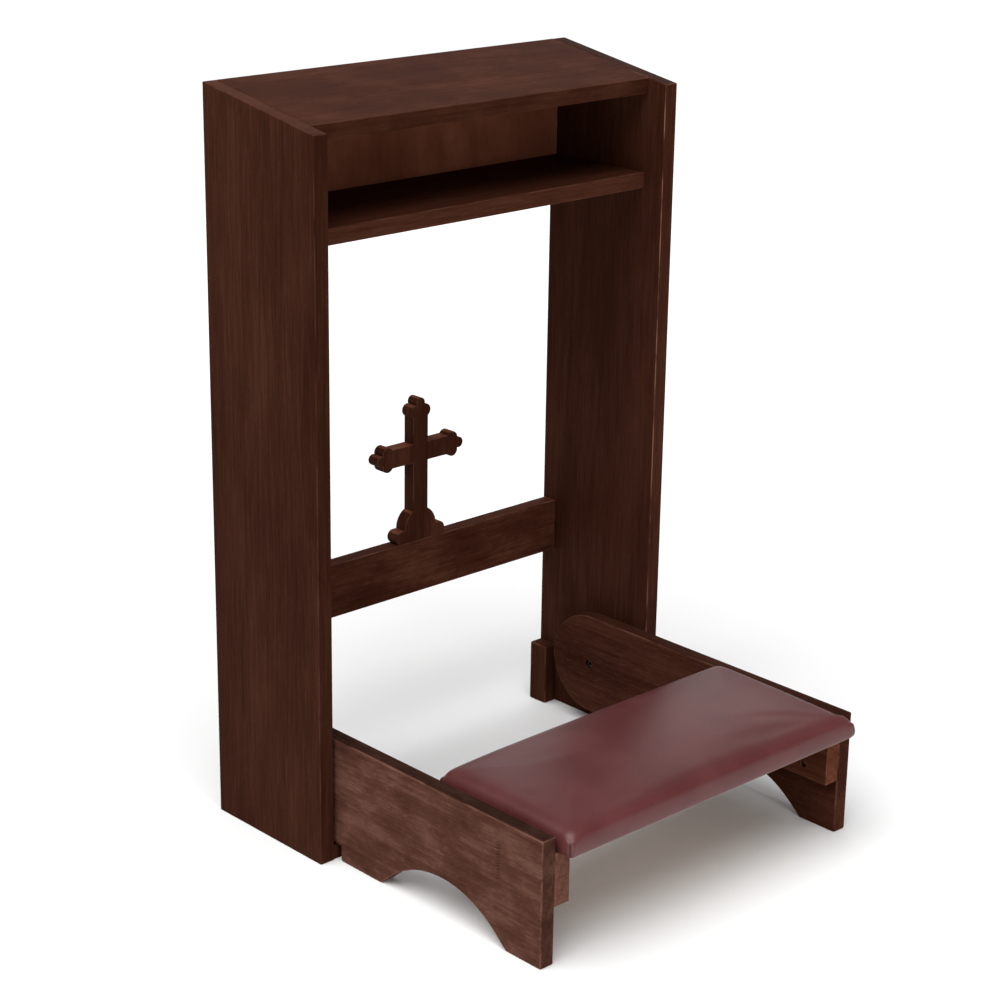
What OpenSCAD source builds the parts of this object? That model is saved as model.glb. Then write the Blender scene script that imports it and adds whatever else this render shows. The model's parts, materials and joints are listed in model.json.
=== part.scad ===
// Folding prayer kneeler: a tall book rest on two side panels, with a padded kneeler
// that hangs between the panels on two bolts and swings up inside them.
// +Z is up, +X is to the right and the kneeler reaches out towards -Y.
// The origin is on the floor, under the middle of the whole object with the kneeler down.
// Inside a module, d is a distance behind the front edges of the side panels.

/* [Frame] */
// Width over the side panels
overall_w = 512; // [430:1:620]
// Depth of the side panels, front to back
frame_d = 178; // [145:1:230]
// Height of the side panels at the back
back_h = 812; // [670:1:980]
// How far the panel tops fall from back to front
rest_fall = 30; // [10:1:60]
// Thickness of the side panels
panel_t = 18; // [15:1:24]

/* [Book rest and shelf] */
// Thickness of the sloping book rest
rest_t = 18; // [12:1:24]
// Distance from the panels' front edges back to the book rest
rest_setback = 25; // [5:1:60]
// Height from the shelf up to the panels' top front corners
shelf_drop = 101; // [80:1:200]
// Thickness of the shelf
shelf_t = 18; // [12:1:24]
// Distance from the panels' front edges back to the shelf
shelf_setback = 28; // [5:1:60]
// Thickness of the back board behind the shelf
back_t = 10; // [6:1:16]

/* [Cross rail] */
// Height of the rail from its lower edge to its upper edge
rail_h = 63; // [45:1:120]
// Height of the rail's lower edge above the floor
rail_z = 198; // [165:1:300]
// Thickness of the rail
rail_t = 18; // [14:1:24]
// Distance from the panels' back edges forward to the rail
rail_inset = 3; // [0:1:12]

/* [Cross] */
// Height of the cross above the rail
cross_h = 170; // [140:1:240]
// Width over the two side limbs
cross_span = 129; // [105:1:180]
// Width of each limb
limb_w = 22; // [16:1:28]
// Thickness of the cross
cross_t = 16; // [10:1:18]
// Distance from the middle of the rail to the middle of the cross
cross_shift = 21; // [-80:1:80]
// Radius of the rounded mound at the foot of the cross
mound_r = 23.5; // [18:0.5:32]
// Width over the foot of the cross
foot_w = 73.5; // [60:0.5:110]
// Height of the foot of the cross
foot_h = 15.5; // [10:0.5:20]

/* [Toe rail and rear blocks] */
// Height of the floor rail between the panels
toe_h = 16; // [14:1:30]
// Depth of the floor rail, front to back
toe_d = 40; // [30:1:60]
// Distance from the panels' front edges back to the floor rail
toe_inset = 1; // [0:1:6]
// Height of the blocks at the foot of the panels' back edges
block_h = 75; // [40:1:120]
// Depth of the blocks, front to back
block_d = 27; // [20:1:40]
// Thickness of the blocks
block_t = 18; // [15:1:30]
// Distance from the panels' back edges forward to the blocks
block_inset = 1; // [0:1:6]

/* [Kneeler arms] */
// Thickness of the arms
arm_t = 18; // [15:1:24]
// Gap between each arm and its side panel
arm_gap = 4; // [3:0.5:8]
// Height of the arms' upper edges above the floor
arm_top = 140; // [115:1:170]
// How far the arms reach in front of the side panels
arm_reach = 314; // [260:1:380]
// Gap between the floor rail and the arms above it
toe_clear = 2; // [1:0.5:5]
// Distance from the panels' front edges forward to the arms' back feet
step_gap = 6.5; // [2:0.5:15]
// Length of the arms' back feet
back_foot = 65; // [40:1:90]
// Length of the arms' front feet
front_foot = 50; // [35:1:80]
// Height of the arch between the feet
arch_h = 43; // [20:1:60]
// Slope of the arch where it meets the feet, in degrees
arch_a = 40; // [25:1:60]

/* [Pad] */
// Depth of the pad, front to back
pad_d = 196; // [160:1:240]
// How far the pad overhangs the front of the arms
pad_overhang = 19; // [5:1:40]
// Height of the pad's edge
pad_edge = 24; // [18:1:40]
// How far the pad's edge stands above the arms
pad_proud = 5; // [0:0.5:10]
// How much higher the middle of the pad is than its edge
pad_crown = 9.5; // [5:0.5:25]
// Gap between the pad and each arm
pad_gap = 3; // [1:0.5:6]
// Radius of the pad's corners, seen from above
pad_corner = 10; // [3:0.5:25]
// Thickness of the pad's board
pad_board_t = 12; // [9:0.5:15]
// Thickness of the pad's cover
cover_t = 1.2; // [0.6:0.1:2]
// Width of the cover's turned-under border
cover_hem = 28; // [20:1:50]

/* [Cleats] */
// Thickness of the cleats under the pad
cleat_t = 20; // [15:1:30]
// Height of the cleats
cleat_h = 58; // [45:1:70]
// Distance from the pad's back edge forward to the cleats
cleat_gap = 3; // [0:1:20]

/* [Pivot] */
// Diameter of the pivot bolts' shanks
bolt_d = 6; // [5:0.5:8]
// Radial clearance between a shank and its arm
bolt_clear = 0.05; // [0.02:0.01:0.1]
// Diameter of the pivot bolts' heads
head_d = 10; // [9:0.5:14]
// Height of the pivot bolts' heads
head_h = 4; // [3:0.5:6]
// Depth of the head below the arm's face
head_sunk = 2.3; // [0.5:0.1:4]
// Side and end play around the moving arm
play = 0.2; // [0.1:0.05:0.5]
// Diameter of the spacing washers
washer_d = 22; // [16:1:30]
// Diameter of the threaded inserts
insert_d = 10; // [8.5:0.5:12]
// Length of the threaded inserts
insert_l = 13; // [10:0.5:14]
// Gap between the folded pad and the cross
fold_clear = 10.5; // [8:0.5:25]

/* [Fasteners] */
// Diameter of the panel dowels
dowel_d = 8; // [6:1:10]
// Depth of a dowel in a side panel
dowel_in = 11; // [8:0.5:14]
// Depth of a dowel in the end of a board
dowel_out = 21; // [15:1:30]
// Diameter of the cross's dowels
peg_d = 6; // [4:0.5:8]
// Depth of a dowel in the foot of the cross
peg_up = 13; // [8:0.5:16]
// Depth of a dowel in the cross rail
peg_down = 25; // [15:1:35]
// Diameter of the wood screws
screw_d = 4; // [3:0.5:5]
// Diameter of the wood screws' heads
screw_head = 7.6; // [6:0.2:9]
// Height of the wood screws' heads
screw_head_h = 3; // [2:0.5:4]
// Depth of a cleat screw's head below the face of its cleat
screw_sunk = 5; // [3:0.5:8]
// Depth of a cleat screw in its arm
screw_bite = 11; // [8:0.5:14]
// Depth of a pad screw in the pad's board
pad_bite = 9; // [6:0.5:11]
// Depth of a pad screw's head above the underside of its cleat
pad_screw_sunk = 22; // [10:1:30]
// Diameter of the back board's nails
nail_d = 1.8; // [1.4:0.1:2.5]
// Number of nails along the back board
nail_n = 6; // [3:1:10]
// Number of staples along each hem of the cover
staple_n = 11; // [5:1:17]

/* [Hidden] */
$fn = 72;

// Where the front edges of the side panels stand, so that the origin is in the middle
front_y = (arm_reach + pad_overhang - frame_d) / 2;

// Side panels and book rest
inner_x = overall_w / 2 - panel_t;
front_h = back_h - rest_fall;
slope = atan(rest_fall / frame_d);
rest_drop = rest_t / cos(slope);
shelf_top = front_h - shelf_drop;

// Rail and cross
rail_front = frame_d - rail_inset - rail_t;
limb_reach = cross_span / 2;
cross_mid = cross_h - limb_reach;
lobe_r = limb_w * 0.34;
tip_r = limb_w * 0.285;
peg_x = foot_w / 4;

// Kneeler arms, from the inside of the side panels inwards
arm_out = inner_x - arm_gap;
arm_in = arm_out - arm_t;
arm_low = toe_h + toe_clear;
pivot_z = (arm_top + arm_low) / 2;
end_r = (arm_top - arm_low) / 2;
pad_top = arm_top + pad_proud + pad_crown;
pivot_d = rail_front - fold_clear - (pad_top - pivot_z);

// Arch between the feet: an arc with straight flares, or a plain arc where that is steep
arch_from = step_gap + back_foot;
arch_to = arm_reach - front_foot;
arch_mid = (arch_from + arch_to) / 2;
arch_half = (arch_to - arch_from) / 2;
flare_r = (arch_half - arch_h / tan(arch_a)) / tan(arch_a / 2);
plain_r = (arch_half * arch_half + arch_h * arch_h) / (2 * arch_h);
flared = flare_r > 0 && flare_r * (1 - cos(arch_a)) < arch_h;
arch_r = flared ? flare_r : plain_r;
spring_y = flared ? arch_r * sin(arch_a) : arch_half;
spring_z = flared ? arch_h - arch_r * (1 - cos(arch_a)) : 0;

// Pad and cleats
pad_x = arm_in - pad_gap;
pad_low = arm_top + pad_proud - pad_edge;
pad_front = -arm_reach - pad_overhang;
pad_mid = pad_front + pad_d / 2;
board_low = pad_low + cover_t;
board_top = board_low + pad_board_t;
foam_ease = 0.3;
crown_fn = 720;
cleat_in = arm_in - cleat_t;
cleat_l = pad_d - pad_overhang - cleat_gap;
cleat_low = pad_low - cleat_h;
cleat_mid = -arm_reach + cleat_l / 2;
cleat_screw_ds = [for (i = [-1, 1]) cleat_mid + i * cleat_l * 0.31];
cleat_screw_z = cleat_low + 15;
pad_screw_ds = [for (i = [-1, 1]) cleat_mid + i * cleat_l * 0.17];
pad_screw_x = cleat_in + cleat_t / 2;
head_hole_r = screw_head / 2 + 0.2;
hem_hole_r = screw_d / 2 + 0.25;

// Pivot
head_gap = 0.6;
head_x = arm_in + head_sunk;
seat_x = head_x + head_h + play;
bolt_end = insert_l - 1;
socket_af = bolt_d * 0.66;

// Dowels at each end of the boards: distance behind the front edges, and height
function rest_z(d) = front_h + d * tan(slope);
dowel_spots = [
    for (d = [rest_setback + 35, frame_d - 38]) [d, rest_z(d) - rest_drop / 2],
    for (d = [shelf_setback + 27, frame_d - back_t - 28]) [d, shelf_top - shelf_t / 2],
    for (z = [rail_z + rail_h / 4, rail_z + rail_h * 3 / 4]) [rail_front + rail_t / 2, z],
    for (d = [toe_inset + toe_d / 4, toe_inset + toe_d * 3 / 4]) [d, toe_h / 2]
];
block_out = block_t - 4;
block_mid = frame_d - block_inset - block_d / 2;
block_spots = [for (z = [block_h / 4, block_h * 3 / 4]) [block_mid, z]];
pin_d = frame_d - back_t - 75;
pin_x = inner_x - 12;
pin_head_d = 5;
pin_head_h = 0.8;
pin_l = shelf_t - 4;
nail_head_d = 3.6;
nail_head_h = 1;
nail_l = back_t + 16;
nail_z = shelf_top - shelf_t / 2;
staple_l = 10;
staple_t = 0.5;
staple_w = 1.2;

dark_wood = [0.20, 0.10, 0.075];
inner_wood = [0.17, 0.085, 0.065];
plain_wood = [0.62, 0.47, 0.32];
steel = [0.72, 0.71, 0.69];
brass = [0.76, 0.62, 0.32];
nylon = [0.08, 0.08, 0.08];
foam = [0.82, 0.76, 0.60];
oxblood = [0.36, 0.13, 0.14];

// Places a shape by its distance behind the panels' front edges
module from_front() {
    translate([0, front_y, 0]) children();
}

// Mirrors the right-hand shape to the left where s is -1
module side(s) {
    mirror([s < 0 ? 1 : 0, 0, 0]) children();
}

// Extrudes an outline drawn in Y and Z along X
module along_x(x, length) {
    translate([x, 0, 0]) rotate([90, 0, 90]) linear_extrude(height = length) children();
}

// Round bar or hole along X
module x_bar(x, d, z, r, length) {
    translate([x, d, z]) rotate([0, 90, 0]) cylinder(r = r, h = length);
}

// Round bar or hole along Y
module y_bar(x, d, z, r, length) {
    translate([x, d, z]) rotate([-90, 0, 0]) cylinder(r = r, h = length);
}

// Round bar or hole along Z
module z_bar(x, d, z, r, length) {
    translate([x, d, z]) cylinder(r = r, h = length);
}

// Block that reaches equally to the left and right
module centre_block(half_w, d, z, depth, height) {
    translate([-half_w, d, z]) cube([2 * half_w, depth, height]);
}

// Dowel holes in both ends of the boards, for the dowel spots from first to last
module end_holes(first, last) {
    for (i = [first : last], s = [-1, 1])
        side(s) x_bar(inner_x - dowel_out, dowel_spots[i][0], dowel_spots[i][1],
                      dowel_d / 2, dowel_out + 1);
}

module side_panel(s) {
    color(dark_wood) side(s) from_front() difference() {
        along_x(inner_x, panel_t)
            polygon([[0, 0], [frame_d, 0], [frame_d, back_h], [0, front_h]]);
        for (p = concat(dowel_spots, block_spots))
            x_bar(inner_x - 1, p[0], p[1], dowel_d / 2, dowel_in + 1);
        x_bar(inner_x - 1, pivot_d, pivot_z, insert_d / 2, insert_l + 1);
    }
}

// The underside and the front edge are square to the sloping top
module book_rest() {
    lip = rest_setback + rest_t * sin(slope);
    color(dark_wood) from_front() difference() {
        along_x(-inner_x, 2 * inner_x) polygon([
            [rest_setback, rest_z(rest_setback)],
            [lip, rest_z(rest_setback) - rest_t * cos(slope)],
            [frame_d, back_h - rest_drop],
            [frame_d, back_h]
        ]);
        end_holes(0, 1);
    }
}

module shelf() {
    shelf_d = frame_d - back_t - shelf_setback;
    color(dark_wood) from_front() difference() {
        centre_block(inner_x, shelf_setback, shelf_top - shelf_t, shelf_d, shelf_t);
        end_holes(2, 3);
        shelf_pin_shapes(pin_head_h, pin_l);
        back_nail_shapes();
    }
}

module back_board() {
    low = shelf_top - shelf_t;
    front = frame_d - back_t;
    color(inner_wood) from_front() difference() {
        along_x(-inner_x, 2 * inner_x) polygon([
            [front, low],
            [frame_d, low],
            [frame_d, back_h - rest_drop],
            [front, rest_z(front) - rest_drop]
        ]);
        back_nail_shapes();
    }
}

module cross_rail() {
    color(dark_wood) from_front() difference() {
        centre_block(inner_x, rail_front, rail_z, rail_t, rail_h);
        end_holes(4, 5);
        cross_peg_shapes();
    }
}

// One limb of the cross: a straight bar that ends in two side lobes and a tip
module limb() {
    lobe_x = limb_reach - 2 * tip_r - lobe_r * 0.45;
    translate([0, -limb_w / 2]) square([lobe_x + lobe_r * 0.6, limb_w]);
    for (s = [-1, 1])
        translate([lobe_x, s * (limb_w / 2 - lobe_r * 0.5)]) circle(r = lobe_r);
    translate([limb_reach - tip_r, 0]) circle(r = tip_r);
}

// The foot is a mound on a plinth with fully rounded ends
module cross_outline() {
    translate([-limb_w / 2, 0]) square([limb_w, cross_mid]);
    for (a = [0, 90, 180])
        translate([0, cross_mid]) rotate(a) limb();
    intersection() {
        translate([0, foot_h]) circle(r = mound_r);
        translate([-mound_r, 0]) square([2 * mound_r, foot_h + mound_r]);
    }
    for (s = [-1, 1])
        translate([s * (foot_w - foot_h) / 2, foot_h / 2]) circle(r = foot_h / 2);
    translate([-(foot_w - foot_h) / 2, 0]) square([foot_w - foot_h, foot_h]);
}

module cross() {
    color(dark_wood) from_front() difference() {
        translate([cross_shift, rail_front + cross_t, rail_z + rail_h])
            rotate([90, 0, 0]) linear_extrude(height = cross_t) cross_outline();
        cross_peg_shapes();
    }
}

module toe_rail() {
    color(inner_wood) from_front() difference() {
        centre_block(inner_x, toe_inset, 0, toe_d, toe_h);
        end_holes(6, 7);
    }
}

module rear_block(s) {
    color(dark_wood) side(s) from_front() difference() {
        translate([inner_x - block_t, frame_d - block_inset - block_d, 0])
            cube([block_t, block_d, block_h]);
        for (p = block_spots)
            x_bar(inner_x - block_out, p[0], p[1], dowel_d / 2, block_out + 1);
    }
}

module panel_dowels() {
    color(plain_wood) from_front()
        for (p = dowel_spots, s = [-1, 1])
            side(s) x_bar(inner_x - dowel_out, p[0], p[1], dowel_d / 2, dowel_out + dowel_in);
}

module block_dowels() {
    color(plain_wood) from_front()
        for (p = block_spots, s = [-1, 1])
            side(s) x_bar(inner_x - block_out, p[0], p[1], dowel_d / 2, block_out + dowel_in);
}

module cross_peg_shapes() {
    for (s = [-1, 1])
        z_bar(cross_shift + s * peg_x, rail_front + cross_t / 2, rail_z + rail_h - peg_down,
              peg_d / 2, peg_down + peg_up);
}

module cross_dowels() {
    color(plain_wood) from_front() cross_peg_shapes();
}

module back_nail_shapes() {
    pitch = 2 * (inner_x - 30) / (nail_n - 1);
    for (i = [0 : nail_n - 1]) {
        x = -inner_x + 30 + i * pitch;
        y_bar(x, frame_d - nail_l, nail_z, nail_d / 2, nail_l);
        y_bar(x, frame_d - nail_head_h, nail_z, nail_head_d / 2, nail_head_h);
    }
}

module back_nails() {
    color(steel) from_front() back_nail_shapes();
}

// One pin near each end of the shelf, with its head let into the top
module shelf_pin_shapes(head, length) {
    for (s = [-1, 1]) side(s) {
        z_bar(pin_x, pin_d, shelf_top - head, pin_head_d / 2, head);
        z_bar(pin_x, pin_d, shelf_top - length, nail_d / 2, length);
    }
}

module shelf_pins() {
    color(steel) from_front() shelf_pin_shapes(pin_head_h, pin_l);
}

module pivot_insert(s) {
    color(brass) side(s) from_front() difference() {
        x_bar(inner_x, pivot_d, pivot_z, insert_d / 2, insert_l);
        x_bar(inner_x - 1, pivot_d, pivot_z, bolt_d / 2, insert_l + 2);
    }
}

module pivot_bolt(s) {
    color(steel) side(s) from_front() difference() {
        union() {
            x_bar(head_x, pivot_d, pivot_z, head_d / 2, head_h);
            x_bar(head_x, pivot_d, pivot_z, bolt_d / 2, inner_x + bolt_end - head_x);
        }
        translate([head_x - 1, pivot_d, pivot_z]) rotate([0, 90, 0])
            cylinder(r = socket_af / sqrt(3), h = head_h * 0.6 + 1, $fn = 6);
    }
}

module pivot_washer(s) {
    color(nylon) side(s) from_front() difference() {
        x_bar(arm_out + play, pivot_d, pivot_z, washer_d / 2, arm_gap - play);
        x_bar(arm_out, pivot_d, pivot_z, bolt_d / 2, arm_gap + 1);
    }
}

module arch_outline() {
    polygon([
        [-arch_half, 0], [-spring_y, spring_z], [spring_y, spring_z], [arch_half, 0],
        [arch_half, -1], [-arch_half, -1]
    ]);
    intersection() {
        translate([0, arch_h - arch_r]) circle(r = arch_r);
        translate([-spring_y, spring_z]) square([2 * spring_y, arch_h]);
    }
}

module arm_outline() {
    difference() {
        union() {
            translate([pivot_d, pivot_z]) circle(r = end_r);
            translate([-arm_reach, arm_low]) square([arm_reach + pivot_d, arm_top - arm_low]);
            translate([-arm_reach, 0]) square([arm_reach - step_gap, arm_low + 1]);
        }
        translate([-arch_mid, 0]) arch_outline();
    }
}

module kneeler_arm(s) {
    color(dark_wood) side(s) from_front() difference() {
        along_x(arm_in, arm_t) arm_outline();
        x_bar(arm_in - 1, pivot_d, pivot_z, bolt_d / 2 + bolt_clear, arm_t + 2);
        x_bar(arm_in - 1, pivot_d, pivot_z, head_d / 2 + head_gap, seat_x - arm_in + 1);
        cleat_screw_shapes();
    }
}

module cleat(s) {
    color(inner_wood) side(s) from_front() difference() {
        translate([cleat_in, -arm_reach, cleat_low]) cube([cleat_t, cleat_l, cleat_h]);
        cleat_screw_shapes();
        for (d = cleat_screw_ds)
            x_bar(cleat_in - 1, d, cleat_screw_z, head_hole_r, screw_sunk + screw_head_h + 1);
        pad_screw_shapes();
        for (d = pad_screw_ds)
            z_bar(pad_screw_x, d, cleat_low - 1, head_hole_r, pad_screw_sunk + screw_head_h + 1);
    }
}

// Shanks along X, through the right-hand cleat and into its arm
module cleat_screw_shapes() {
    for (d = cleat_screw_ds)
        x_bar(cleat_in + screw_sunk, d, cleat_screw_z, screw_d / 2, cleat_t - screw_sunk + screw_bite);
}

module cleat_screws() {
    color(steel) from_front() for (s = [-1, 1]) side(s) {
        cleat_screw_shapes();
        for (d = cleat_screw_ds)
            x_bar(cleat_in + screw_sunk, d, cleat_screw_z, screw_head / 2, screw_head_h);
    }
}

// Shanks along Z, up through the right-hand cleat and into the pad's board
module pad_screw_shapes() {
    for (d = pad_screw_ds)
        z_bar(pad_screw_x, d, cleat_low + pad_screw_sunk, screw_d / 2,
              cleat_h - pad_screw_sunk + cover_t + pad_bite);
}

module pad_screws() {
    color(steel) from_front() for (s = [-1, 1]) side(s) {
        pad_screw_shapes();
        for (d = pad_screw_ds)
            z_bar(pad_screw_x, d, cleat_low + pad_screw_sunk, screw_head / 2, screw_head_h);
    }
}

// Rectangle with round corners, centred, that is inset from the pad's outline
module pad_outline(inset) {
    w = pad_x - inset;
    h = pad_d / 2 - inset;
    r = max(pad_corner - inset, 0.5);
    for (i = [-1, 1], j = [-1, 1])
        translate([i * (w - r), j * (h - r)]) circle(r = r);
    square([2 * w, 2 * (h - r)], center = true);
    square([2 * (w - r), 2 * h], center = true);
}

// Solid between a level and the pad's crowned top, inset all round and from the top
module pad_shape(inset, low) {
    edge_top = pad_low + pad_edge;
    r_y = (pad_d * pad_d / 4 + pad_crown * pad_crown) / (2 * pad_crown);
    r_x = (pad_x * pad_x + pad_crown * pad_crown) / (2 * pad_crown);
    translate([0, pad_mid, 0]) intersection() {
        translate([0, 0, low]) linear_extrude(height = pad_top - low + 1) pad_outline(inset);
        translate([-pad_x, 0, edge_top + pad_crown - r_y]) rotate([0, 90, 0])
            cylinder(r = r_y - inset, h = 2 * pad_x, $fn = crown_fn);
        translate([0, -pad_d / 2, edge_top + pad_crown - r_x]) rotate([-90, 0, 0])
            cylinder(r = r_x - inset, h = pad_d, $fn = crown_fn);
    }
}

module pad_board() {
    color(plain_wood) from_front() difference() {
        translate([0, pad_mid, board_low]) linear_extrude(height = pad_board_t) pad_outline(cover_t);
        for (s = [-1, 1]) side(s) pad_screw_shapes();
    }
}

module pad_foam() {
    color(foam) from_front() difference() {
        pad_shape(cover_t + foam_ease, board_low);
        centre_block(pad_x, pad_front, board_low - 1, pad_d, pad_board_t + 1);
    }
}

module pad_cover() {
    color(oxblood) from_front() difference() {
        pad_shape(0, pad_low);
        pad_shape(cover_t, board_low);
        translate([0, pad_mid, pad_low - 1])
            linear_extrude(height = cover_t + 2) pad_outline(cover_hem);
        for (s = [-1, 1], d = pad_screw_ds)
            side(s) z_bar(pad_screw_x, d, pad_low - 1, hem_hole_r, cover_t + 2);
    }
}

// Crowns of the staples that hold the front and back hems of the cover
module pad_staples() {
    span = 2 * (cleat_in - 2 * staple_l);
    pitch = span / (staple_n - 1);
    color(steel) from_front() translate([0, pad_mid, pad_low - staple_t])
        for (j = [-1, 1], i = [0 : staple_n - 1])
            translate([i * pitch - span / 2, j * (pad_d - cover_hem) / 2, 0])
                translate([-staple_l / 2, -staple_w / 2, 0]) cube([staple_l, staple_w, staple_t]);
}

side_panel(-1);  // side_panel_left
side_panel(1);  // side_panel_right
book_rest();
shelf();
back_board();
cross_rail();
cross();
toe_rail();
rear_block(-1);  // rear_block_left
rear_block(1);  // rear_block_right
panel_dowels();
block_dowels();
cross_dowels();
back_nails();
shelf_pins();
pivot_insert(-1);  // pivot_insert_left
pivot_insert(1);  // pivot_insert_right
pivot_bolt(-1);  // pivot_bolt_left
pivot_bolt(1);  // pivot_bolt_right
pivot_washer(-1);  // pivot_washer_left
pivot_washer(1);  // pivot_washer_right
kneeler_arm(-1);  // kneeler_arm_left
kneeler_arm(1);  // kneeler_arm_right
cleat(-1);  // cleat_left
cleat(1);  // cleat_right
cleat_screws();
pad_screws();
pad_board();
pad_foam();
pad_cover();
pad_staples();
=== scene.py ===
import json
import math

import bmesh
import bpy
import numpy as np
from mathutils import Matrix, Vector

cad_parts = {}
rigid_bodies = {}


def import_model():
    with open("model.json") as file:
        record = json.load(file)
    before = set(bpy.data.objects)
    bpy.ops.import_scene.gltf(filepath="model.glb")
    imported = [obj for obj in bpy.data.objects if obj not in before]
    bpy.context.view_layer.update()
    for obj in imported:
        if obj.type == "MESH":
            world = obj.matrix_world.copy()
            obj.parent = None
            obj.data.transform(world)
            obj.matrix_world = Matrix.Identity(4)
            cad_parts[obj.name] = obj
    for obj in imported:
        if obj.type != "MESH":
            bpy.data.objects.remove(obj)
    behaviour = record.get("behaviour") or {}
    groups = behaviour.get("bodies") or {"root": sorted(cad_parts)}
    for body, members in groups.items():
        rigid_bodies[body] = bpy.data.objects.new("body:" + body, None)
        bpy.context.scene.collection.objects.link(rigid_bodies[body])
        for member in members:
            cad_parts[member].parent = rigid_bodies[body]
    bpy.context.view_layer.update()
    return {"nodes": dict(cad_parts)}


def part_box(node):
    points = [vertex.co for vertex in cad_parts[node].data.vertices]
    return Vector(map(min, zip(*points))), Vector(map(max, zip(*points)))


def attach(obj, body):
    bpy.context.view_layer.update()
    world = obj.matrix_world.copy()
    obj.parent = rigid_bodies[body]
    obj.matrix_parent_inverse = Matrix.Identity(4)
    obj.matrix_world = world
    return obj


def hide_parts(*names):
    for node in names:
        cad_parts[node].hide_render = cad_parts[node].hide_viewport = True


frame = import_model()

print("frame loaded:", len(frame["nodes"]), "CAD nodes")


class Wire:
    # one output socket, so that sums written with + - * / add Math nodes
    def __init__(self, finish, socket):
        self.finish = finish
        self.socket = socket

    def join(self, operation, first, second=None, clamp=False):
        return self.finish.add("ShaderNodeMath", {"operation": operation, "use_clamp": clamp},
                               {0: first, 1: second})

    def __add__(self, other):
        return self.join("ADD", self, other)

    def __radd__(self, other):
        return self.join("ADD", other, self)

    def __sub__(self, other):
        return self.join("SUBTRACT", self, other)

    def __rsub__(self, other):
        return self.join("SUBTRACT", other, self)

    def __mul__(self, other):
        return self.join("MULTIPLY", self, other)

    def __rmul__(self, other):
        return self.join("MULTIPLY", other, self)

    def __truediv__(self, other):
        return self.join("DIVIDE", self, other)

    def power(self, other):
        return self.join("POWER", self, other)

    def frac(self):
        return self.join("FRACT", self)

    def size(self):
        return self.join("ABSOLUTE", self)

    def held(self):
        return self.join("ADD", self, 0.0, clamp=True)

    def over(self, low, high):
        # 0 below low, 1 above high, smooth between them
        return self.finish.add("ShaderNodeMapRange", {"interpolation_type": "SMOOTHSTEP"},
                               {"Value": self, "From Min": low, "From Max": high})


class Finish:
    # one material and the nodes in it
    def __init__(self, name):
        self.material = bpy.data.materials.new(name)
        self.material.use_nodes = True
        self.tree = self.material.node_tree
        self.tree.nodes.clear()

    def add(self, kind, settings=None, values=None, out=0):
        node = self.tree.nodes.new(kind)
        for key, value in (settings or {}).items():
            if key == "stops":
                ramp = node.color_ramp
                while len(ramp.elements) < len(value):
                    ramp.elements.new(0.5)
                for element, (place, colour) in zip(ramp.elements, value):
                    element.position = place
                    element.color = (*colour, 1)
            else:
                setattr(node, key, value)
        for key, value in (values or {}).items():
            if value is None:
                continue
            if isinstance(value, Wire):
                self.tree.links.new(value.socket, node.inputs[key])
            elif isinstance(value, tuple) and len(node.inputs[key].default_value) == 4:
                node.inputs[key].default_value = (*value[:3], 1)
            else:
                node.inputs[key].default_value = value
        return Wire(self, node.outputs[out])

    def mix(self, factor, first, second):
        return self.add("ShaderNodeMix", {"data_type": "RGBA"}, {0: factor, 6: first, 7: second}, out=2)

    def scaled(self, vector, factors):
        return self.add("ShaderNodeVectorMath", {"operation": "MULTIPLY"}, {0: vector, 1: factors})

    def moved(self, vector, step):
        return self.add("ShaderNodeVectorMath", {"operation": "ADD"}, {0: vector, 1: step})

    def noise(self, vector, scale=1.0, detail=2.0, roughness=0.5):
        return self.add("ShaderNodeTexNoise", None,
                        {"Vector": vector, "Scale": scale, "Detail": detail, "Roughness": roughness})

    def place(self):
        return self.add("ShaderNodeTexCoord", out="Object")

    def mark(self, name):
        # a value that the mesh carries
        return self.add("ShaderNodeAttribute", {"attribute_name": name}, out="Fac")

    def parts(self, vector):
        return [self.add("ShaderNodeSeparateXYZ", None, {0: vector}, out=i) for i in range(3)]

    def done(self, colour, roughness, height=None, bump=(0.2, 0.0004), **constants):
        # bump: its strength and its depth in metres; constants go straight on the shader's sockets
        values = {"Base Color": colour, "Roughness": roughness, **constants}
        if height is not None:
            values["Normal"] = self.add("ShaderNodeBump", None,
                                        {"Strength": bump[0], "Distance": bump[1], "Height": height})
        surface = self.add("ShaderNodeBsdfPrincipled", None, values)
        output = self.tree.nodes.new("ShaderNodeOutputMaterial")
        self.tree.links.new(surface.socket, output.inputs["Surface"])
        return self.material


woodLook = {
    "dark": (0.0185, 0.0050, 0.0026),
    "middle": (0.0370, 0.0116, 0.0062),
    "light": (0.066, 0.0235, 0.0140),
    # colour of the rounded edges, partly wear and partly painted highlight
    "worn": (0.24, 0.115, 0.075),
    "tone": 1.0,
    "roughness": 0.42,
    "gloss": 0.006,
    "pith": (0.09, 0.05),          # middle of the tree, seen from the board
    "waver": (9.0, 9.0, 1.4),      # how quickly the rings wander across and along the grain
    "waverReach": 0.03,
    "ringPitch": 0.011,
    "ringSpan": (0.45, 0.97),      # share of a ring where the late wood comes in, and where it stops
    "ringWeight": 0.09,
    "streakAcross": 230.0,         # streaks per metre across the grain
    "streakAlong": 9.0,
    "streakWeight": 0.24,
    "fineAcross": 900.0,
    "fineAlong": 26.0,
    "fineWeight": 0.2,
    "poreAcross": 1500.0,
    "poreAlong": 90.0,
    "poreWeight": 0.2,
    "blotch": 14.0,
    "blotchDrawn": 0.25,           # 1 is round, less is drawn out along the grain
    "mottle": 0.35,
    "fleckAcross": 420.0,
    "fleckAlong": 110.0,
    "fleck": 0.12,
    "plainDepth": 0.36,            # depth of the stain where no mark adds to it
    # patches and strength of that edge colour, partly wear and partly painted highlight
    "rubAndHighlightScale": (60.0, 60.0, 22.0),
    "rubAndHighlightMost": 0.75,
    "relief": (0.25, 0.0003),      # strength and depth of the grain to the touch
}
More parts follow.
